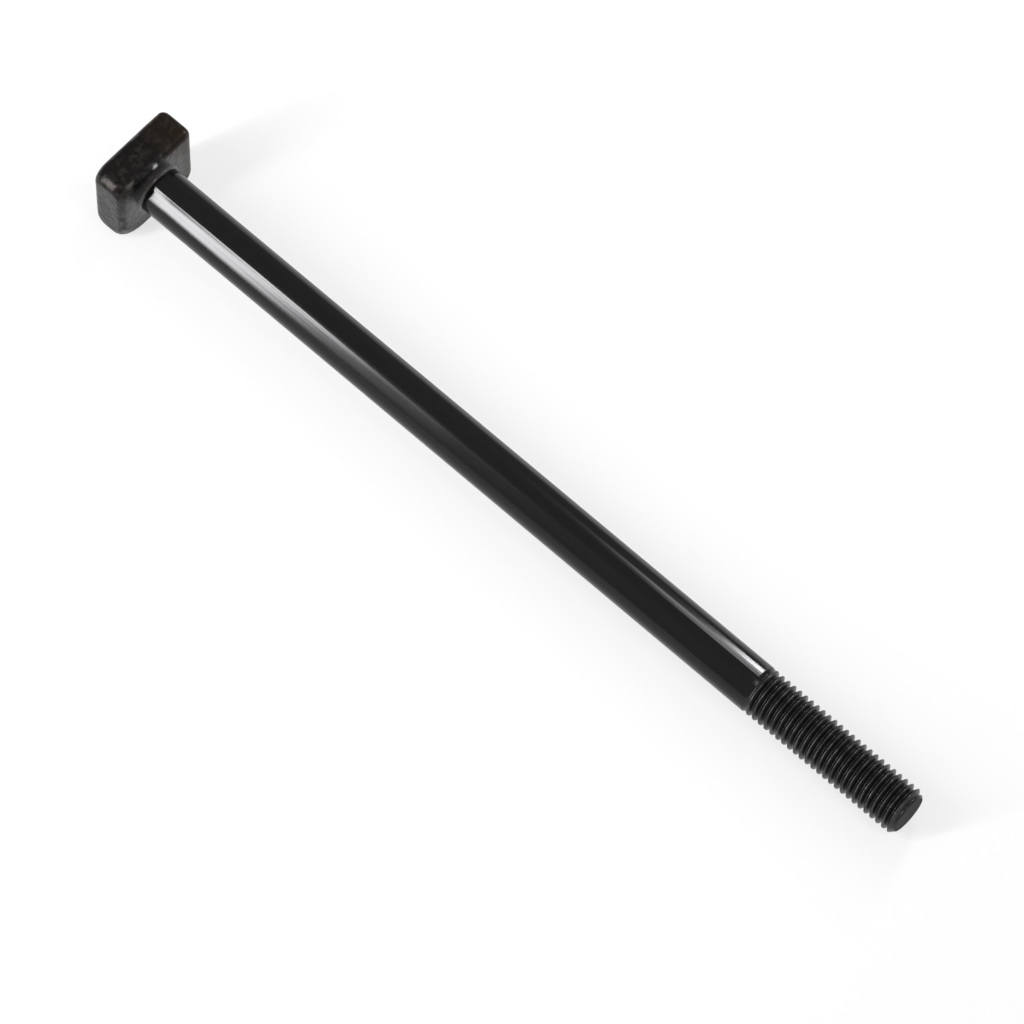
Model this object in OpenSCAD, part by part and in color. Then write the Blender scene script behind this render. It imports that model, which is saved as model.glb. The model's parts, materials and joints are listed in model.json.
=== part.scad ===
// T-slot bolt lying at rest: a forged square head, a plain round shank and a threaded end, in one piece.
// The bolt is drawn along +X with the middle of its bearing face at zero, then laid down on z = 0.

/* [Shank] */
// Diameter of the plain shank, the nominal size of the bolt
shank_d = 15.875; // [12:0.125:20]
// Length under the head, from the bearing face to the tip
shank_length = 304.8; // [150:0.1:450]
// Radius of the fillet where the shank meets the bearing face
root_fillet_r = 1.0; // [0.5:0.1:3]

/* [Head] */
// Side of the square head, across its flats
head_side = 31.75; // [29:0.05:45]
// Thickness of the head, from the crown face to the bearing face
head_t = 12.7; // [9:0.1:20]
// Radius of the four upright corners of the square
corner_r = 3.5; // [1.5:0.1:5]
// Radius of the forged edges round the crown face
crown_edge_r = 3.0; // [0.5:0.1:3.6]
// Radius of the forged edges round the bearing face
bearing_edge_r = 2.4; // [0.5:0.1:3]
// Radius that softens the tips of the corners, where three faces meet
corner_tip_r = 4.2; // [1:0.1:4.4]

/* [Thread] */
// Amount by which the thread's major diameter is under the nominal size
thread_allowance = 0.075; // [0.05:0.005:0.3]
// Length of full thread, measured from the tip
thread_length = 57.15; // [20:0.05:140]
// Length of the run-out where the thread fades into the shank
runout_length = 3.0; // [1:0.1:6]
// Depth of the chamfer at the tip, down to the root of the thread
tip_chamfer_depth = 1.6; // [0.5:0.05:2.5]
// Length of the chamfer along the bolt
tip_chamfer_length = 1.6; // [0.5:0.05:3]

/* [Hidden] */
$fn = 96;
// Overlap that joins the turned pieces to the head, and length by which cutting shapes run past a face
lap = 1;

shank_r = shank_d / 2;
thread_r = (shank_d - thread_allowance) / 2;
half_side = head_side / 2;
tip_r = thread_r - tip_chamfer_depth;
smooth_length = shank_length - thread_length - runout_length;
// Reach of a rounded corner from the middle of the square
corner_reach = sqrt(2) * (half_side - corner_r) + corner_r;

// The bolt rests on the rounded bearing edge of the head and on the first crest of the thread at the tip.
// Its dip is the slope of the line that touches both.
contact_run = shank_length - tip_chamfer_length + bearing_edge_r;
contact_drop = half_side - bearing_edge_r - thread_r;
rest_dip = atan2(contact_drop, contact_run)
    + asin(bearing_edge_r / norm([contact_run, contact_drop]));
// Height of the bearing face's middle over the surface
rest_height = thread_r * cos(rest_dip) + (shank_length - tip_chamfer_length) * sin(rest_dip);
// Ends of the lying bolt along X, and the middle between them
crown_end = (crown_edge_r - head_t) * cos(rest_dip) - (half_side - crown_edge_r) * sin(rest_dip)
    - crown_edge_r;
tip_end = shank_length * cos(rest_dip) + tip_r * sin(rest_dip);
rest_middle = (crown_end + tip_end) / 2;

// Rectangle from the origin to [width, height], its two left corners rounded by left_r and its right by right_r
module soft_rectangle(width, height, left_r, right_r) {
    difference() {
        square([width, height]);
        for (upper = [false, true]) {
            translate([0, upper ? height : 0])
                mirror([0, upper ? 1 : 0])
                    corner_waste(left_r);
            translate([width, upper ? height : 0])
                mirror([1, 0])
                    mirror([0, upper ? 1 : 0])
                        corner_waste(right_r);
        }
    }
}

// What is cut away at a square corner to leave a quarter round of the radius
module corner_waste(radius) {
    difference() {
        translate([-lap, -lap])
            square(radius + lap);
        translate([radius, radius])
            circle(r = radius);
    }
}

// The square of the head in plan, run past both of its faces
module head_sides() {
    translate([-head_t - lap, 0, 0])
        rotate([90, 0, 90])
            linear_extrude(head_t + 2 * lap)
                translate([-half_side, -half_side])
                    soft_rectangle(head_side, head_side, corner_r, corner_r);
}

// A bar with the head's section from crown to bearing face, which rounds two opposite pairs of edges
module head_edges() {
    translate([-head_t, half_side + lap, -half_side])
        rotate([90, 0, 0])
            linear_extrude(head_side + 2 * lap)
                soft_rectangle(head_t, head_side, crown_edge_r, bearing_edge_r);
}

// A turned disc that rounds off the tips of the corners
module corner_tips() {
    translate([-head_t, 0, 0])
        rotate([0, 90, 0])
            rotate_extrude()
                intersection() {
                    translate([-corner_reach, 0])
                        soft_rectangle(2 * corner_reach, head_t, corner_tip_r, corner_tip_r);
                    square([corner_reach + lap, head_t]);
                }
}

module head() {
    intersection() {
        head_sides();
        head_edges();
        rotate([90, 0, 0])
            head_edges();
        corner_tips();
    }
}

// The plain shank, with its fillet under the head
module shank() {
    rotate([0, 90, 0]) {
        translate([0, 0, -lap])
            cylinder(r = shank_r, h = smooth_length + lap);
        rotate_extrude()
            difference() {
                translate([0, -lap])
                    square([shank_r + root_fillet_r, root_fillet_r + lap]);
                translate([shank_r + root_fillet_r, root_fillet_r])
                    circle(r = root_fillet_r);
            }
    }
}

// The threaded end at the thread's major diameter, with its run-out and the chamfer at the tip
module threaded_end() {
    straight = thread_length - tip_chamfer_length;
    translate([smooth_length, 0, 0])
        rotate([0, 90, 0]) {
            cylinder(r1 = shank_r, r2 = thread_r, h = runout_length);
            translate([0, 0, runout_length])
                cylinder(r = thread_r, h = straight);
            translate([0, 0, runout_length + straight])
                cylinder(r1 = thread_r, r2 = tip_r, h = tip_chamfer_length);
        }
}

module bolt() {
    color([0.13, 0.12, 0.11])
        translate([-rest_middle, 0, rest_height])
            rotate([0, rest_dip, 0]) {
                head();
                shank();
                threaded_end();
            }
}

bolt();
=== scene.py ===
# %% [markdown]
# # A blackened T-slot bolt
#
# The real bolt is one piece of steel: a square head forged on the end of a round bar, a long plain
# shank, and a short thread cut on the far end. It is then blackened in a hot salt bath and oiled.
# This lesson dresses the measured solid of that bolt: it builds one smooth mesh with a true helical
# thread, gives it the black finish, and lights it like a small product shot.

# %% Load the measured solid
import json
import math

import bmesh
import bpy
import numpy as np
from mathutils import Matrix, Vector, noise


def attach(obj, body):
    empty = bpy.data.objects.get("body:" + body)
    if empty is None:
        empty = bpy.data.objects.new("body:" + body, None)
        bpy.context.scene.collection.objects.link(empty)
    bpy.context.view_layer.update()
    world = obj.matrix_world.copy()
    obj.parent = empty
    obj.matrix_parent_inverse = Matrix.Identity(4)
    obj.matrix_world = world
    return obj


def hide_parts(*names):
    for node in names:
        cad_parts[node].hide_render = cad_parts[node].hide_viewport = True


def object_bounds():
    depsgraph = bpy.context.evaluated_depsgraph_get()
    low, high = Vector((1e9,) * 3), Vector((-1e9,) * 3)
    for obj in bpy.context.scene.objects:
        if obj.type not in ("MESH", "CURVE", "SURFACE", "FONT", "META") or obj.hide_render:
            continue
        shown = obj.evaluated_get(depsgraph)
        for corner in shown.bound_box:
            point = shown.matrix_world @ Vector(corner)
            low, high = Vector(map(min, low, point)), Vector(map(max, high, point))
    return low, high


MM = 0.001
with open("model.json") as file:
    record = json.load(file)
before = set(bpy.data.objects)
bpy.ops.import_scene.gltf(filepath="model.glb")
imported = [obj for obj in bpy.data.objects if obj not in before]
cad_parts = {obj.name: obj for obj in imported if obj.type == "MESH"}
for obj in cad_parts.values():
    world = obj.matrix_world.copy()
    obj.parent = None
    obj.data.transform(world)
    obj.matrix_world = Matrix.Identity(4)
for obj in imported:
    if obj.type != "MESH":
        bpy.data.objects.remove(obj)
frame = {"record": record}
solid_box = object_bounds()
print("solid box in mm:", [[round(v / MM, 2) for v in corner] for corner in solid_box])

# %% [markdown]
# The solid comes with a record of its interfaces: the flat face under the head, the shank and the
# thread, each with its place and its direction, and the round ones with a radius and a length. Reading
# the bolt's axis from them beats typing it in, because the mesh then follows the solid when a size
# changes. The bolt lies on the edge of its head and on its tip, so its axis dips a little. All shapes
# below are drawn along that axis, with the middle of the bearing face at zero.

# %% Find the bolt's own axis
mounts = {mount["name"]: mount for mount in frame["record"]["mounts"]}
shank = mounts["shank"]
thread = mounts["thread"]
axis = Vector(shank["axis"]).normalized()
sideways = Vector((0, 1, 0))
upward = axis.cross(sideways)
shank_middle = Vector(shank["pos_m"])
face_point = Vector(mounts["bearing_face"]["pos_m"])
bearing_middle = shank_middle + axis * axis.dot(face_point - shank_middle)
bolt_turn = Matrix((axis, sideways, upward)).transposed().to_4x4()
bolt_to_world = Matrix.Translation(bearing_middle) @ bolt_turn
print("the axis dips by", round(math.degrees(math.asin(-axis.z)), 2), "degrees")

# %% [markdown]
# The lengths along the axis come from the same record. The shank's stretch starts where the fillet under
# the head ends, so the distance to its near end is also the fillet's radius. The thread's stretch stops
# where the tip's chamfer starts. The record doesn't hold the chamfer, so that size is given here.

# %% Measure along the axis
CHAMFER = 1.6 * MM


def along(mount, share):
    """Distance from the bearing face to a round mount's near end at share 0, and its far end at 1."""
    middle = axis.dot(Vector(mount["pos_m"]) - bearing_middle)
    return middle + (share - 0.5) * mount["dims"]["length_mm"] * MM


shank_r = shank["dims"]["r_mm"] * MM
thread_r = thread["dims"]["r_mm"] * MM
fillet_r = along(shank, 0)
smooth_end = along(shank, 1)
tip = along(thread, 1) + CHAMFER
tip_r = thread_r - CHAMFER
print("the shank ends at", round(smooth_end / MM, 1), "mm and the tip is at", round(tip / MM, 1), "mm")

# %% [markdown]
# The head began as a hot bar end that was squeezed into a square die. The steel doesn't quite fill a
# die's corners, so every edge is rounded and each corner comes out a little different. One way to make
# it is a cube with a bevel, but a bevel can't give each corner its own shape. Here the head is a stack
# of outlines instead. Each outline is a rounded square, and two quarter rounds say how it shrinks
# towards the crown face and the bearing face: one for the flats, and one for each corner, which is mostly
# larger.

# %% Outlines of the head
AROUND = 160
CORNER_STEPS = 18
HEAD_THICK = 12.7 * MM
CROWN_EDGE_R = 3.0 * MM
BEARING_EDGE_R = 2.4 * MM
SHARPEST_CORNER = 0.6 * MM
# Radius of each corner in plan and at its tips, counted round from the one between sideways and upward
CORNER_RADII = (2.2 * MM, 3.5 * MM, 4.2 * MM, 3.6 * MM)
TIP_RADII = (3.0 * MM, 4.2 * MM, 5.0 * MM, 4.4 * MM)
head_half = (solid_box[1].y - solid_box[0].y) / 2


def quarter_inset(depth, radius):
    """How far a quarter round stands back at a depth below the face that it starts from."""
    if depth >= radius:
        return 0.0
    return radius - math.sqrt(radius**2 - (radius - depth) ** 2)


def rounded_square(half, reaches):
    """Points round a square of this half width, each corner reaching so far from its middle."""
    radii = [(math.sqrt(2) * half - reach) / (math.sqrt(2) - 1) for reach in reaches]
    radii = [max(radius, SHARPEST_CORNER) for radius in radii]
    swing = np.linspace(0, math.pi / 2, CORNER_STEPS + 1)
    flat_steps = AROUND // 4 - CORNER_STEPS
    quarters = []
    for quarter, radius in enumerate(radii):
        centre = half - radius
        corner = centre + radius * np.stack([np.cos(swing), np.sin(swing)], 1)
        next_centre = half - radii[(quarter + 1) % 4]
        run = np.linspace(centre, -next_centre, flat_steps + 1)[1:-1]
        flat = np.stack([run, np.full(len(run), half)], 1)
        quarter_turn = Matrix.Rotation(quarter * math.pi / 2, 2)
        quarters.append(np.concatenate([corner, flat]) @ np.array(quarter_turn).T)
    return np.concatenate(quarters)


def head_outline(x):
    """The head's outline at a distance x from the bearing face, negative towards the crown."""
    below_crown = x + HEAD_THICK
    nearest_face = min(below_crown, -x)
    flat_in = max(quarter_inset(below_crown, CROWN_EDGE_R), quarter_inset(-x, BEARING_EDGE_R))
    reaches = []
    for corner_r, blend_r in zip(CORNER_RADII, TIP_RADII):
        full_reach = math.sqrt(2) * (head_half - corner_r) + corner_r
        reaches.append(full_reach - quarter_inset(nearest_face, blend_r))
    return rounded_square(head_half - flat_in, reaches)


print("an outline of the head has", len(head_outline(-HEAD_THICK / 2)), "points")

# %% [markdown]
# A ring is one outline at its place along the bolt. The crown face is a nest of shrinking rings, and the
# rounded edges are rings at even steps of angle. Rings that all have the same number of points join with
# rows of four-sided faces, which shade smoothly. Each ring also carries how much its edge gets rubbed,
# which the finish uses later.

# %% Rings of the head
FACE_STEPS = 14
SIDE_STEPS = 8
EDGE_STEPS = 10
edge_angles = np.linspace(0, math.pi / 2, EDGE_STEPS + 1)
rings = []


def lay_ring(x, outline, rub=0.0):
    """Places an outline across the bolt at x, with how much that ring is rubbed in use."""
    rings.append((np.column_stack([np.full(AROUND, x), outline]), rub))


def between(steps):
    """Shares from 0 to 1 in so many even steps, without the two ends."""
    return np.linspace(0, 1, steps + 1)[1:-1]


for share in between(FACE_STEPS):
    lay_ring(-HEAD_THICK, head_outline(-HEAD_THICK) * share)
for angle in edge_angles:
    x = -HEAD_THICK + CROWN_EDGE_R * (1 - math.cos(angle))
    lay_ring(x, head_outline(x), math.sin(2 * angle))
side_length = HEAD_THICK - CROWN_EDGE_R - BEARING_EDGE_R
for share in between(SIDE_STEPS):
    x = -HEAD_THICK + CROWN_EDGE_R + share * side_length
    lay_ring(x, head_outline(x))
for angle in edge_angles:
    x = -BEARING_EDGE_R * (1 - math.sin(angle))
    lay_ring(x, head_outline(x), math.sin(2 * angle))
print("the head has", len(rings), "rings of", AROUND, "points")

# %% [markdown]
# The bearing face is the flat underside of the head, which pulls up against the lips of the slot. It runs
# from the square outline to the circle where the fillet starts, so its rings are mixes of the two. A hole
# in a plain square face would leave one many-sided face, which shades badly. The fillet and the shank
# are circles with as many points as the square. Their points are counted so that the middle of a corner
# of the square lies at 45 degrees on the circle too.

# %% Rings of the bearing face, the fillet and the shank
SHANK_STEPS = 30
ring_angles = (np.arange(AROUND) - CORNER_STEPS / 2) / AROUND * 2 * math.pi + math.pi / 4
circle = np.stack([np.cos(ring_angles), np.sin(ring_angles)], 1)
for share in between(FACE_STEPS):
    lay_ring(0, head_outline(0) * (1 - share) + circle * (shank_r + fillet_r) * share)
for angle in edge_angles:
    lay_ring(fillet_r * (1 - math.cos(angle)), circle * (shank_r + fillet_r * (1 - math.sin(angle))))
for share in np.linspace(0, 1, SHANK_STEPS + 1)[1:]:
    lay_ring(fillet_r + share * (smooth_end - fillet_r), circle * shank_r)
print("down to the thread there are", len(rings), "rings")

# %% [markdown]
# The thread is a 60 degree groove that winds round the bar, eleven turns to the inch. A quick stand-in
# is a row of separate grooves, or a bump in the finish, but then the silhouette is wrong and a thread
# doesn't climb. Blender's Screw modifier could sweep the groove, yet it can't fade it out. So the thread
# is a grid: each column of points runs along the bolt at one angle round it, and each column is shifted
# by its share of one pitch, so that the columns meet again one turn further on. The groove grows shallow
# where the die was stopped, and a cone cuts it off at the tip.

# %% Points of the thread
MM_PER_INCH = 25.4
THREADS_PER_INCH = 11
PITCH = MM_PER_INCH / THREADS_PER_INCH * MM
GROOVE_DEPTH = 1.30 * MM
RUN_OUT = 4.5 * MM
# Turns past each end of the thread, which are then cut off
SPARE_TURNS = 2
# One turn of the groove from root to root: places as shares of the pitch, heights as shares of the depth
GROOVE = [(-0.5, 0.0), (-0.435, 0.05), (-0.375, 0.17), (-0.22, 0.60), (-0.085, 0.95), (-0.055, 1.0),
          (0.0, 1.0), (0.055, 1.0), (0.085, 0.95), (0.22, 0.60), (0.375, 0.17), (0.435, 0.05)]
turns = math.ceil((tip - smooth_end) / PITCH) + 2 * SPARE_TURNS
turn_places, turn_heights = np.array(GROOVE).T
groove_heights = np.tile(turn_heights, turns)
first_turn = smooth_end - SPARE_TURNS * PITCH
turn_of = np.repeat(np.arange(turns), len(GROOVE))
lead = np.arange(AROUND)[:, None] / AROUND
thread_x = first_turn + PITCH * (turn_of + np.tile(turn_places, turns) + lead)
thread_x = np.clip(thread_x, smooth_end, tip)
fade = np.clip((thread_x - smooth_end) / RUN_OUT, 0, 1)
fade = fade * fade * (3 - 2 * fade)
crest_r = shank_r + (thread_r - shank_r) * fade
groove_r = crest_r - GROOVE_DEPTH * fade * (1 - groove_heights)
groove_r = np.minimum(groove_r, tip_r + (tip - thread_x))
columns = np.stack([thread_x, groove_r * circle[:, :1], groove_r * circle[:, 1:]], 2)
print("the thread has", AROUND, "columns of", columns.shape[1], "points")

# %% [markdown]
# Now the rings and the columns become one closed mesh. Blender can bridge loops of edges, but lists of
# points and faces are the plainest way in, and it reads them in one call. The rings come first, and the
# crown face closes on one point in its middle.

# %% Faces of the head and the shank
points = [(-HEAD_THICK, 0, 0)]
rubs = [0.0]
faces = []
for ring_points, ring_rub in rings:
    points.extend(map(tuple, ring_points))
    rubs.extend([ring_rub] * AROUND)


def ring_point(number, step):
    """Place in the list of the point at a step round a ring. The crown's middle comes before them all."""
    return 1 + number * AROUND + step % AROUND


for step in range(AROUND):
    faces.append((0, ring_point(0, step + 1), ring_point(0, step)))
    for number in range(len(rings) - 1):
        near = ring_point(number, step)
        far = ring_point(number, step + 1)
        faces.append((near, far, far + AROUND, near + AROUND))
print("the head and the shank have", len(faces), "faces")

# %% [markdown]
# Each column of the thread joins the next one. The last one has wound all the way round to the first, and
# stands one turn further along the bolt. So it joins the first column's points from one turn on, and has
# one turn less to join.

# %% Faces of the thread
column_length = columns.shape[1]
thread_start = len(points)
points.extend(map(tuple, columns.reshape(-1, 3)))
rubs.extend(np.tile(groove_heights, AROUND))
for step in range(AROUND):
    is_last = step == AROUND - 1
    joined = column_length - len(GROOVE) if is_last else column_length
    here = thread_start + step * column_length
    there = thread_start + len(GROOVE) if is_last else here + column_length
    for number in range(joined - 1):
        faces.append((here + number, there + number, there + number + 1, here + number + 1))
print("with the thread there are", len(faces), "faces")

# %% [markdown]
# The end of the bar is a flat disc, cut square. It could be a single face with many sides, but rings of
# four-sided faces shade more evenly. The first ring is narrow, which keeps the edge of the chamfer crisp.

# %% Faces of the end
END_SHARES = (1.0, 0.97, 0.75, 0.5, 0.25, 0.08)
end_start = len(points)
for share in END_SHARES:
    points.extend(map(tuple, np.column_stack([np.full(AROUND, tip), circle * tip_r * share])))
points.append((tip, 0, 0))
rubs.extend([0.0] * (len(points) - end_start))
for step in range(AROUND):
    following = (step + 1) % AROUND
    for number in range(len(END_SHARES) - 1):
        row = end_start + number * AROUND
        faces.append((row + step, row + following, row + AROUND + following, row + AROUND + step))
    row = end_start + (len(END_SHARES) - 1) * AROUND
    faces.append((row + step, row + following, len(points) - 1))
print("before merging there are", len(points), "points and", len(faces), "faces")

# %% [markdown]
# The steel has no seams, so the mesh has none either. The columns of the thread were cut off at the
# shank's last ring and at the rim of the end, so their ends lie on points that are already there. Merging
# the points that land on the same place joins the three stretches, and takes away the faces that the
# cutting left with no size. An edge without two faces would be a gap, and the count should say 0.

# %% Merge the doubled points
MERGE_WITHIN = 0.002 * MM
bolt_mesh = bpy.data.meshes.new("t_bolt")
bolt_mesh.from_pydata(points, [], faces)
bolt_mesh.attributes.new("rub", "FLOAT", "POINT").data.foreach_set("value", rubs)
shape = bmesh.new()
shape.from_mesh(bolt_mesh)
bmesh.ops.remove_doubles(shape, verts=shape.verts, dist=MERGE_WITHIN)
bmesh.ops.recalc_face_normals(shape, faces=shape.faces)
open_edges = sum(not edge.is_manifold for edge in shape.edges)
print("the mesh has", len(shape.verts), "points,", len(shape.faces), "faces and", open_edges, "open edges")

# %% [markdown]
# A forging is never quite flat: scale on the hot steel and a worn die leave shallow hollows that a
# reflection shows at once. Moving the head's points inwards along their normals, by smooth noises of up
# to a quarter of a millimetre, gives the mesh itself that unevenness and never makes it larger than the
# solid. The bearing face was squared up, and the drawn shank is true, so both stay as they are.

# %% Make the forged head a little uneven
# Size of each noise, and the most that it takes away
HOLLOWS = [(9 * MM, 0.20 * MM), (4 * MM, 0.06 * MM)]
shape.normal_update()
deepest = 0.0
for vertex in shape.verts:
    if vertex.co.x < 0:
        ease = min(1.0, -vertex.co.x / BEARING_EDGE_R)
        depth = sum((0.5 + 0.5 * noise.noise(vertex.co / size)) * most for size, most in HOLLOWS)
        vertex.co -= vertex.normal * depth * ease
        deepest = max(deepest, depth * ease)
shape.to_mesh(bolt_mesh)
shape.free()
print("the deepest hollow in the head is", round(deepest / MM, 2), "mm")

# %% [markdown]
# The marks on the steel belong to the bolt and not to the room, so the finish has to know where on the
# bolt each point is. Blender's object coordinates would do, but they follow the world once the mesh lies
# in its place. So each point's place in the bolt's own frame is stored on the mesh before it is laid down.
# The mesh then rides on the part's one body, and the solid that it stands for is hidden.

# %% Lay the bolt in its place
own_places = np.empty(len(bolt_mesh.vertices) * 3, np.float32)
bolt_mesh.vertices.foreach_get("co", own_places)
bolt_mesh.attributes.new("place", "FLOAT_VECTOR", "POINT").data.foreach_set("vector", own_places)
bolt_mesh.transform(bolt_to_world)
bolt_mesh.shade_smooth()
bolt = bpy.data.objects.new("t_bolt", bolt_mesh)
bpy.context.scene.collection.objects.link(bolt)
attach(bolt, "root")
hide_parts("bolt")
print("the bolt's mesh spans", [round(v / MM, 2) for v in bolt.dimensions], "mm")

# %% [markdown]
# Finishes are node trees, and node trees are hard to read as code. This small class wraps one socket, so
# that `1 - mask` or `grain * 0.1` adds the Math node for it. Any other node comes from `add`, which takes
# the node's type, its settings and its inputs by their identifiers.

# %% Shader maths as Python expressions
class Socket:
    """One socket of a node tree. Operators on it add Math nodes, and add() makes any other node."""

    def __init__(self, tree, socket=None):
        self.tree = tree
        self.socket = socket

    def add(self, kind, settings, inputs, output=None):
        """Makes a node, sets it up, fills its inputs with values or links, and gives one output back."""
        node = self.tree.nodes.new(kind)
        for name, value in settings.items():
            setattr(node, name, value)
        inlets = {socket.identifier: socket for socket in node.inputs}
        for name, value in inputs.items():
            if isinstance(value, Socket):
                self.tree.links.new(value.socket, inlets[name])
            else:
                inlets[name].default_value = value
        outlets = {socket.identifier: socket for socket in node.outputs}
        return Socket(self.tree, outlets.get(output))

    def math(self, operation, first, second):
        """Makes a Math node from two values or sockets."""
        settings = {"operation": operation}
        return self.add("ShaderNodeMath", settings, {"Value": first, "Value_001": second}, "Value")

    def __add__(self, other):
        return self.math("ADD", self, other)

    def __sub__(self, other):
        return self.math("SUBTRACT", self, other)

    def __rsub__(self, other):
        return self.math("SUBTRACT", other, self)

    def __mul__(self, other):
        return self.math("MULTIPLY", self, other)

    __radd__ = __add__
    __rmul__ = __mul__


def new_tree(owner):
    """An empty node tree on a material, a lamp or the world, ready for nodes."""
    owner.use_nodes = True
    owner.node_tree.nodes.clear()
    return Socket(owner.node_tree)


def smooth_step(value, start, end, lowest=0.0):
    """A mask that goes smoothly from its lowest at start to 1 at end, which may lie below start."""
    inputs = {"Value": value, "From Min": start, "From Max": end, "To Min": lowest}
    return value.add("ShaderNodeMapRange", {"interpolation_type": "SMOOTHSTEP"}, inputs, "Result")


print("shader maths is ready")

# %% [markdown]
# The black finish isn't paint. It is a thin skin of iron oxide, so the steel's own surface shows through
# it: fine drawing lines along the shank, forging scale on the head, turning marks on the end. Every mark
# hangs on the place that the mesh carries, so the lines run true along the bolt however it lies. Masks
# say where the forged head, the thread and the end face are.

# %% Where each part of the bolt is
HEAD_FADE = 0.3 * MM
END_FADE = (0.05 * MM, 0.01 * MM)
black_steel = bpy.data.materials.new("black_oxide_steel")
oxide = new_tree(black_steel)


def carried(name, output):
    """A value that the mesh carries at each of its points."""
    return oxide.add("ShaderNodeAttribute", {"attribute_name": name}, {}, output)


place = carried("place", "Vector")
rub = carried("rub", "Fac")
distance_along = oxide.add("ShaderNodeSeparateXYZ", {}, {"Vector": place}, "X")
across = oxide.add("ShaderNodeSeparateXYZ", {}, {"Vector": place}, "Y")
off_head = smooth_step(distance_along, 0.0, HEAD_FADE)
on_head = 1 - off_head
on_thread = smooth_step(distance_along, smooth_end, smooth_end + RUN_OUT)
on_end = smooth_step(distance_along, tip - END_FADE[0], tip - END_FADE[1])
print("the finish has masks for the head, the thread and the end face")

# %% [markdown]
# Each mark is a noise at the size of the real thing. Stretching a noise along the bolt turns its specks
# into drawing lines, fine ones from the die and broad ones from the rolled bar under them. A slow noise
# mottles the oxide, a fine one is the grain of the scaled head, and a middling one, cut off steeply,
# leaves the ragged islands where scale flaked away.

# %% Marks that the making left
LINE_STRETCH = 400.0


def specks(size, detail, stretch=1.0):
    """Noise with specks of this size, drawn out along the bolt by the stretch."""
    inputs = {"Vector": place, "Vector_001": (1 / size / stretch, 1 / size, 1 / size)}
    spread = oxide.add("ShaderNodeVectorMath", {"operation": "MULTIPLY"}, inputs, "Vector")
    inputs = {"Vector": spread, "Scale": 1.0, "Detail": detail, "Roughness": 0.55}
    return oxide.add("ShaderNodeTexNoise", {}, inputs, "Fac")


mottle = specks(9 * MM, detail=3.0)
patches = specks(4 * MM, detail=2.0)
flakes = smooth_step(specks(1.9 * MM, detail=4.0), 0.46, 0.58)
grain = specks(0.45 * MM, detail=3.0)
draw_lines = specks(0.6 * MM, detail=1.0, stretch=LINE_STRETCH)
bar_lines = specks(1.5 * MM, detail=1.0, stretch=LINE_STRETCH)
oil = specks(12 * MM, detail=3.0, stretch=3.0)
nicks = smooth_step(specks(0.9 * MM, detail=2.0, stretch=2.0), 0.70, 0.76)
print("the finish has mottling, patches, flakes, grain, lines, oil and nicks")

# %% [markdown]
# A lathe tool leaves rings on the end face, and the die leaves fine ones on the flanks of the thread. A
# Wave texture draws rings too, but at even steps. Noise along the distance from the axis gives rings that
# differ as real ones do.

# %% Turning marks
TURNING_RING = 0.3 * MM
inputs = {"Vector": place, "Vector_001": (0, 1, 1)}
off_axis = oxide.add("ShaderNodeVectorMath", {"operation": "MULTIPLY"}, inputs, "Vector")
from_axis = oxide.add("ShaderNodeVectorMath", {"operation": "LENGTH"}, {"Vector": off_axis}, "Value")
ring_number = oxide.add("ShaderNodeCombineXYZ", {}, {"X": from_axis * (1 / TURNING_RING)}, "Vector")
turning = oxide.add("ShaderNodeTexNoise", {}, {"Vector": ring_number, "Scale": 1.0}, "Fac")
print("the turning marks are", round(TURNING_RING / MM, 2), "mm wide")

# %% [markdown]
# Two marks have a place of their own, and both are painted light. The corner under the head gets painted
# light: a paler colour, with less of the metal look, that lifts the shade round the root of the shank. And
# the edge of the head over the shank gets a painted glint: a small spot of pale steel colour. Both could be
# painted on an image, but distances are enough: from the face and the axis for the corner light, and from
# the middle of the glint for its spot. The grain and the patches, added to that distance, make the rim of
# the spot ragged.

# %% Painted light in the corner and a painted glint on the edge
# How far behind the face the painted corner light starts, where it thins along the shank, and how far out
# it lies
CORNER_LIGHT_UNDER = 0.5 * MM
CORNER_LIGHT_THINS = (0.6 * MM, 1.2 * MM)
CORNER_LIGHT_OUT_TO = 17 * MM
# Middle of the painted glint on the edge over the shank, and the rim where it fades
GLINT_MIDDLE = (-0.15 * MM, -0.3 * MM, 14.3 * MM)
GLINT_RIM = (2.5 * MM, 3.1 * MM)
from_face = smooth_step(distance_along, -CORNER_LIGHT_UNDER, 0.0)
by_the_face = from_face * smooth_step(distance_along, CORNER_LIGHT_THINS[1], CORNER_LIGHT_THINS[0])
# Painted light: a mask for the corner under the head, where a paler colour lifts the shade
corner_light = by_the_face * smooth_step(from_axis, CORNER_LIGHT_OUT_TO, shank_r + fillet_r)
inputs = {"Vector": place, "Vector_001": GLINT_MIDDLE}
from_glint = oxide.add("ShaderNodeVectorMath", {"operation": "DISTANCE"}, inputs, "Value")
ragged = from_glint + grain * (2.6 * MM) + patches * (1.0 * MM)
# Painted glint: a ragged spot on the head's edge over the shank
painted_glint = smooth_step(ragged, GLINT_RIM[1], GLINT_RIM[0])
print("the finish has painted light under the head and one painted glint")

# %% [markdown]
# The oxide is almost black. On the head, where the steel was hot, it leans to brown in blotches, most of
# all towards one side, and where scale flaked away a thin dry skin shows paler. The thread is a little
# greyer, with painted shade that makes it darker towards the root of its groove. Edges that get rubbed wear
# back towards grey steel, but only in flecks, so the wear is the carried rub value broken up by the
# patches. Two colours are painted light: a paler one that lifts the shade in the corner under the head, and
# a spot of pale steel colour as a painted glint on the edge over the shank.

# %% Colours of the finish
SHANK_BLACK = (0.0195, 0.0195, 0.0200, 1)
HEAD_BLACK = (0.0160, 0.0148, 0.0150, 1)
HEAT_BROWN = (0.030, 0.0210, 0.0120, 1)
DRY_SCALE = (0.036, 0.0335, 0.0325, 1)
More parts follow.
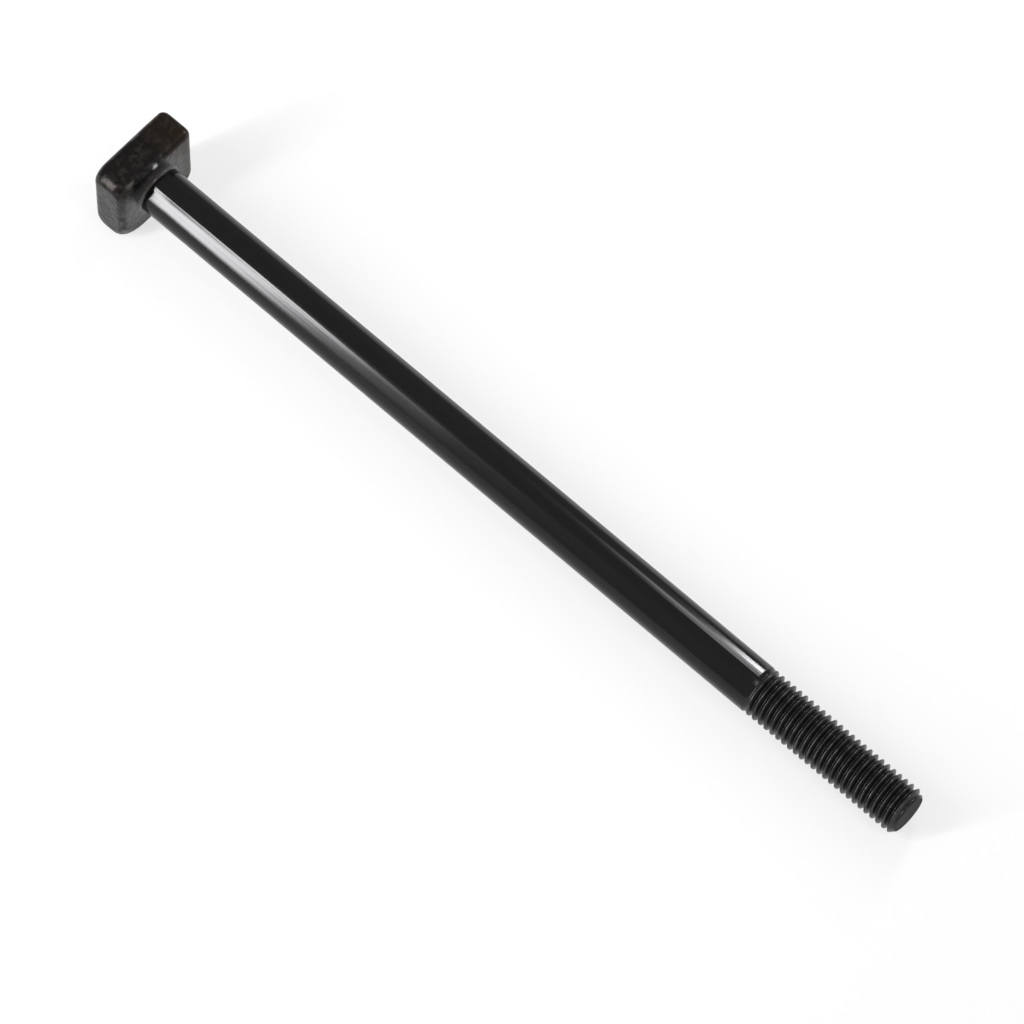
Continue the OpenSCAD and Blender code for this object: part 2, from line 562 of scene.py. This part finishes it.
# Painted light for the shaded corner under the head
PAINTED_CORNER_LIGHT = (0.054, 0.051, 0.049, 1)
THREAD_BLACK = (0.038, 0.038, 0.038, 1)
# Painted shade towards the root of the thread's groove
GROOVE_SHADE = (0.026, 0.026, 0.026, 1)
RUBBED_STEEL = (0.15, 0.145, 0.14, 1)
END_BLACK = (0.018, 0.018, 0.018, 1)
# Painted glint on the head's edge over the shank
PAINTED_GLINT_COLOUR = (0.50, 0.49, 0.48, 1)
MOST_WEAR = 0.5


def blend(mask, first, second):
    """Goes from the first colour to the second as the mask rises."""
    inputs = {"Factor_Float": mask, "A_Color": first, "B_Color": second}
    return oxide.add("ShaderNodeMix", {"data_type": "RGBA"}, inputs, "Result_Color")


hot_side = smooth_step(across + patches * (8 * MM), 4 * MM, 13 * MM)
blotches = smooth_step(mottle, 0.40, 0.62)
heat = on_head * (0.20 * blotches + hot_side * (0.40 + 0.30 * blotches))
dry = on_head * flakes * smooth_step(mottle, 0.42, 0.66)
# Painted shade: darker towards the root of the groove
painted_groove_shade = (1 - rub) * on_thread
worn = smooth_step(patches, 0.50, 0.68) * smooth_step(rub, 0.6, 1.0)
colour = blend(on_head, SHANK_BLACK, HEAD_BLACK)
colour = blend(heat, colour, HEAT_BROWN)
colour = blend(dry, colour, DRY_SCALE)
# Painted light lifts the shade in the corner under the head
colour = blend(corner_light, colour, PAINTED_CORNER_LIGHT)
colour = blend(on_thread, colour, THREAD_BLACK)
# Painted shade down in the thread's groove
colour = blend(painted_groove_shade, colour, GROOVE_SHADE)
colour = blend(worn * MOST_WEAR, colour, RUBBED_STEEL)
colour = blend(on_end, colour, END_BLACK)
# Painted glint: a spot of pale steel colour on the edge over the shank
colour = blend(painted_glint, colour, PAINTED_GLINT_COLOUR)
print("the colours run from head black to the painted glint")

# %% [markdown]
# Gloss tells the parts apart more than colour does. The drawn shank is smooth and oiled, so it throws a
# clean streak of light, dulled where the oil was wiped or the bar was nicked. The forged head and the
# thread are rougher, and the cut end is roughest. One roughness for the whole bolt would make it look
# cast in plastic, so roughness follows the same masks as the colours.

# %% Gloss
SHANK_ROUGHNESS = 0.105
THREAD_ROUGHER = 0.19
END_ROUGHER = 0.30
wiped = 0.04 * draw_lines + 0.02 * smooth_step(oil, 0.45, 0.65) + 0.08 * nicks
forged_rougher = 0.13 + 0.12 * mottle + 0.08 * flakes
roughness = SHANK_ROUGHNESS + off_head * wiped + on_head * forged_rougher
roughness = roughness + THREAD_ROUGHER * on_thread + END_ROUGHER * on_end
print("the shank's roughness starts at", SHANK_ROUGHNESS)

# %% [markdown]
# The drawing lines, flakes, grain and rings also stand up or sink in, by a tenth of a millimetre or so
# and mostly by less. Points for them would make the mesh huge, so a Bump node tilts the surface's
# normals instead. Its heights are in metres, as everything here is.

# %% Relief
drawn = draw_lines * (0.05 * MM) + bar_lines * (0.10 * MM)
forged = patches * (0.14 * MM) + grain * (0.03 * MM) + flakes * (0.025 * MM)
cut = (0.015 * on_thread + 0.035 * on_end) * turning * MM
relief = (off_head - on_thread) * drawn + on_head * forged + cut
bumps = oxide.add("ShaderNodeBump", {}, {"Strength": 1.0, "Distance": 1.0, "Height": relief}, "Normal")
print("the relief has drawn, forged and cut marks")

# %% [markdown]
# The shader brings these together. Blackened steel looks nearly like metal, but it mirrors less at a
# glancing angle than bare metal does, and a specular tint below white says so. The painted corner light
# also takes most of the metal look away in the corner under the head, which makes it read paler still. A
# thin coat is the oil, on the shank and the thread but not on the head or the end.

# %% The shader
OXIDE_METALLIC = 0.85
# How much of the metal look the painted light takes away in the corner under the head
CORNER_LIGHT_TAKES = 0.6
OIL_COAT = 0.12
OIL_ROUGHNESS = 0.13
GLANCE_TINT = (0.88, 0.88, 0.88, 1)
skin = oxide.add("ShaderNodeBsdfPrincipled", {}, {
    "Base Color": colour,
    "Metallic": OXIDE_METALLIC - CORNER_LIGHT_TAKES * corner_light,
    "Roughness": roughness,
    "Normal": bumps,
    "Coat Weight": OIL_COAT * (off_head - on_end),
    "Coat Roughness": OIL_ROUGHNESS,
    "Specular Tint": GLANCE_TINT,
}, "BSDF")
oxide.add("ShaderNodeOutputMaterial", {}, {"Surface": skin})
bolt.data.materials.append(black_steel)
print("the finish has", len(black_steel.node_tree.nodes), "nodes")

# %% [markdown]
# The camera looks down on the bolt from the thread's side through a long lens, which keeps both ends of
# such a long thing at nearly one size. Its angles, its scale and the spot where one point of the bolt
# lands in a picture of 1024 pixels were found by laying the solid's outline over the real bolt's. From
# those, the lens and the place follow, and the lens needs no shift.

# %% Set up the camera
PICTURE = 1024
AZIMUTH = 42.35
ELEVATION = 64.3
PIXELS_PER_METRE = 3328
AIM_PIXEL = (519.8, 490.3)
AIM_ALONG = 150 * MM
CAMERA_DISTANCE = 2.05
SENSOR_WIDTH = 36


def towards_eye(azimuth, elevation):
    """Direction from the bolt to an eye at these angles in degrees, azimuth 0 looking along +Y."""
    swing = math.radians(azimuth)
    rise = math.radians(elevation)
    return Vector((math.sin(swing) * math.cos(rise), -math.cos(swing) * math.cos(rise), math.sin(rise)))


back = towards_eye(AZIMUTH, ELEVATION)
right = Vector((0, 0, 1)).cross(back).normalized()
up = back.cross(right)
lens = bpy.data.cameras.new("camera")
lens.sensor_width = SENSOR_WIDTH
lens.lens = SENSOR_WIDTH * CAMERA_DISTANCE * PIXELS_PER_METRE / PICTURE
camera = bpy.data.objects.new("camera", lens)
bpy.context.scene.collection.objects.link(camera)
bpy.context.scene.camera = camera
bolt_aim = bolt_to_world @ Vector((AIM_ALONG, 0, 0))
aim = bolt_aim - right * ((AIM_PIXEL[0] - PICTURE / 2) / PIXELS_PER_METRE)
aim += up * ((AIM_PIXEL[1] - PICTURE / 2) / PIXELS_PER_METRE)
camera_turn = Matrix((right, up, back)).transposed().to_4x4()
camera.matrix_world = Matrix.Translation(aim + back * CAMERA_DISTANCE) @ camera_turn
print("the lens is", round(lens.lens), "mm")

# %% [markdown]
# The lamps are soft boxes, cloths lit from behind. A plain area lamp has a hard rim, which a smooth bar
# would show as a hard end to the streak. A real cloth glows less towards its frame, so each lamp's own
# nodes let it fade over its outer part.

# %% A cloth that fades towards its frame
# Share of the lamp's size that glows in full. Across the cloth, places run from 0 to 1.
FULL_GLOW = 0.70
CLOTH_MIDDLE = (0.5, 0.5, 0)
CLOTH_RIM = 0.5


def fade_cloth(lamp):
    """Gives a lamp nodes that fade it from the edge of its full glow out to its rim."""
    bulb = new_tree(lamp)
    spot_on_cloth = bulb.add("ShaderNodeNewGeometry", {}, {}, "Parametric")
    inputs = {"Vector": spot_on_cloth, "Vector_001": CLOTH_MIDDLE}
    off_middle = bulb.add("ShaderNodeVectorMath", {"operation": "DISTANCE"}, inputs, "Value")
    fall_off = smooth_step(off_middle, CLOTH_RIM, FULL_GLOW / 2)
    cloth = bulb.add("ShaderNodeEmission", {}, {"Strength": fall_off}, "Emission")
    bulb.add("ShaderNodeOutputLight", {}, {"Surface": cloth})


print("a cloth glows in full over", FULL_GLOW, "of its size")

# %% [markdown]
# A polished round bar shows a lamp as a streak, and the streak sits where the surface is turned halfway
# between the eye and the lamp. So each soft box is placed backwards: pick the spot on the shank where
# its streak should be, mirror the line of sight there, and put the lamp out along it. One box lights the
# shank next to the head, low on the near side, and leans a little, so that its streak drifts across the
# shank. One lights it by the thread, high on the far side, with a small close lamp that puts the bright
# end on that second streak. A wide dim panel does the same for an eye behind the bolt, which would
# otherwise see it plain black.

# %% Place the soft boxes by their streaks
# Each spot is a distance along the bolt, and a place across it from -1, its near edge, to 1
HEAD_STREAK = (14 * MM, -0.30)
THREAD_STREAK = (235 * MM, 0.50)
STREAK_END = (244 * MM, 0.63)
BACK_STREAK = (120 * MM, -0.44)
BACK_VIEW = (222, 30)


def soft_box(name, eye, spot, distance, size, glow, lean=0.0):
    """A lamp whose streak an eye sees at a spot of the shank.

    The size is how long the lamp is along the bolt and how wide across it, and the lean turns it by so
    many degrees.
    """
    spot_along, spot_across = spot
    length, width = size
    middle = bolt_to_world @ Vector((spot_along, 0, 0))
    sight = (eye - middle).normalized()
    facing = (sight - axis * sight.dot(axis)).normalized()
    far_side = facing.cross(axis)
    normal = facing * math.sqrt(1 - spot_across**2) + far_side * spot_across
    outward = normal * 2 * normal.dot(sight) - sight
    lengthwise = (axis - outward * axis.dot(outward)).normalized()
    lengthwise = Matrix.Rotation(-math.radians(lean), 3, outward) @ lengthwise
    lamp_turn = Matrix((lengthwise, outward.cross(lengthwise), outward)).transposed().to_4x4()
    lamp = bpy.data.lights.new(name, "AREA")
    lamp.shape = "ELLIPSE"
    lamp.size = length
    lamp.size_y = width
    cloth_area = math.pi / 4 * length * width
    lamp.energy = glow * math.pi * cloth_area
    fade_cloth(lamp)
    holder = bpy.data.objects.new(name, lamp)
    holder.matrix_world = Matrix.Translation(middle + outward * distance) @ lamp_turn
    bpy.context.scene.collection.objects.link(holder)
    print(name, "stands at", [round(v, 2) for v in holder.location], "m")


camera_eye = camera.matrix_world.translation
back_eye = bolt_aim + towards_eye(*BACK_VIEW) * CAMERA_DISTANCE
soft_box("head_soft_box", camera_eye, HEAD_STREAK, distance=0.90, size=(0.132, 1.26), glow=31, lean=3.0)
soft_box("thread_soft_box", camera_eye, THREAD_STREAK, distance=0.80, size=(0.12, 0.42), glow=7)
soft_box("shoulder_lamp", camera_eye, STREAK_END, distance=0.40, size=(0.016, 0.20), glow=60)
soft_box("back_panel", back_eye, BACK_STREAK, distance=1.5, size=(1.2, 0.5), glow=3)

# %% [markdown]
# The bolt lies on a plain pale sheet. A curved backdrop would do for the one picture, but a flat sheet that
# runs far out looks the same from every side.

# %% The floor
FLOOR_HALF = 20.0
floor_z = solid_box[0].z
corners = [(-1, -1), (1, -1), (1, 1), (-1, 1)]
floor_points = [(x * FLOOR_HALF, y * FLOOR_HALF, floor_z) for x, y in corners]
floor_mesh = bpy.data.meshes.new("floor")
floor_mesh.from_pydata(floor_points, [], [(0, 1, 2, 3)])
floor = bpy.data.objects.new("floor", floor_mesh)
bpy.context.scene.collection.objects.link(floor)
print("the floor lies at", round(floor_z / MM, 3), "mm")

# %% [markdown]
# More light would make the sheet white, but it would fall on the bolt as well. So for the camera and for
# mirrored rays the sheet is mixed with plain white, and for other rays it isn't: it reads as white, keeps
# the bolt's shadow and puts no extra light on the bolt. Further out, where no shadow falls and the lamps
# don't reach, the sheet goes over to all white.

# %% A sheet that reads as white
FLOOR_GREY = (0.92, 0.92, 0.92, 1)
WHITE_SHARE = 0.66
SHADOW_REACH = (0.3, 1.2)
pale_sheet = bpy.data.materials.new("pale_sheet")
sheet = new_tree(pale_sheet)
camera_ray = sheet.add("ShaderNodeLightPath", {}, {}, "Is Camera Ray")
glossy_ray = sheet.add("ShaderNodeLightPath", {}, {}, "Is Glossy Ray")
through_ray = sheet.add("ShaderNodeLightPath", {}, {}, "Is Transmission Ray")
seen = sheet.math("MAXIMUM", camera_ray, sheet.math("MAXIMUM", glossy_ray, through_ray))
spot_on_floor = sheet.add("ShaderNodeNewGeometry", {}, {}, "Position")
far_off = sheet.add("ShaderNodeVectorMath", {"operation": "LENGTH"}, {"Vector": spot_on_floor}, "Value")
white_share = smooth_step(far_off, SHADOW_REACH[0], SHADOW_REACH[1], lowest=WHITE_SHARE)
matt = sheet.add("ShaderNodeBsdfDiffuse", {}, {"Color": FLOOR_GREY}, "BSDF")
white = sheet.add("ShaderNodeEmission", {}, {"Strength": 1.0}, "Emission")
inputs = {"Fac": seen * white_share, "Shader": matt, "Shader_001": white}
both = sheet.add("ShaderNodeMixShader", {}, inputs, "Shader")
sheet.add("ShaderNodeOutputMaterial", {}, {"Surface": both})
floor_mesh.materials.append(pale_sheet)
print("near the bolt the sheet is", WHITE_SHARE, "white")

# %% [markdown]
# The room is an even grey, and is kept dim, because a black bolt is drawn by what it mirrors, and a bright
# room would turn it grey. The Standard view shows colours as they are written, where Blender's own choice
# would soften the white of the sheet.

# %% The room
ROOM_GLOW = 0.43
room = bpy.data.worlds.new("room")
bpy.context.scene.world = room
walls = new_tree(room)
grey = walls.add("ShaderNodeBackground", {}, {"Color": (1, 1, 1, 1), "Strength": ROOM_GLOW}, "Background")
walls.add("ShaderNodeOutputWorld", {}, {"Surface": grey})
bpy.context.scene.view_settings.view_transform = "Standard"
print("the room glows at", ROOM_GLOW)

# %% [markdown]
# A dressed part has to keep the size of its solid. Here the scene is only brought up to date.

# %% Bring the scene up to date
bpy.context.view_layer.update()
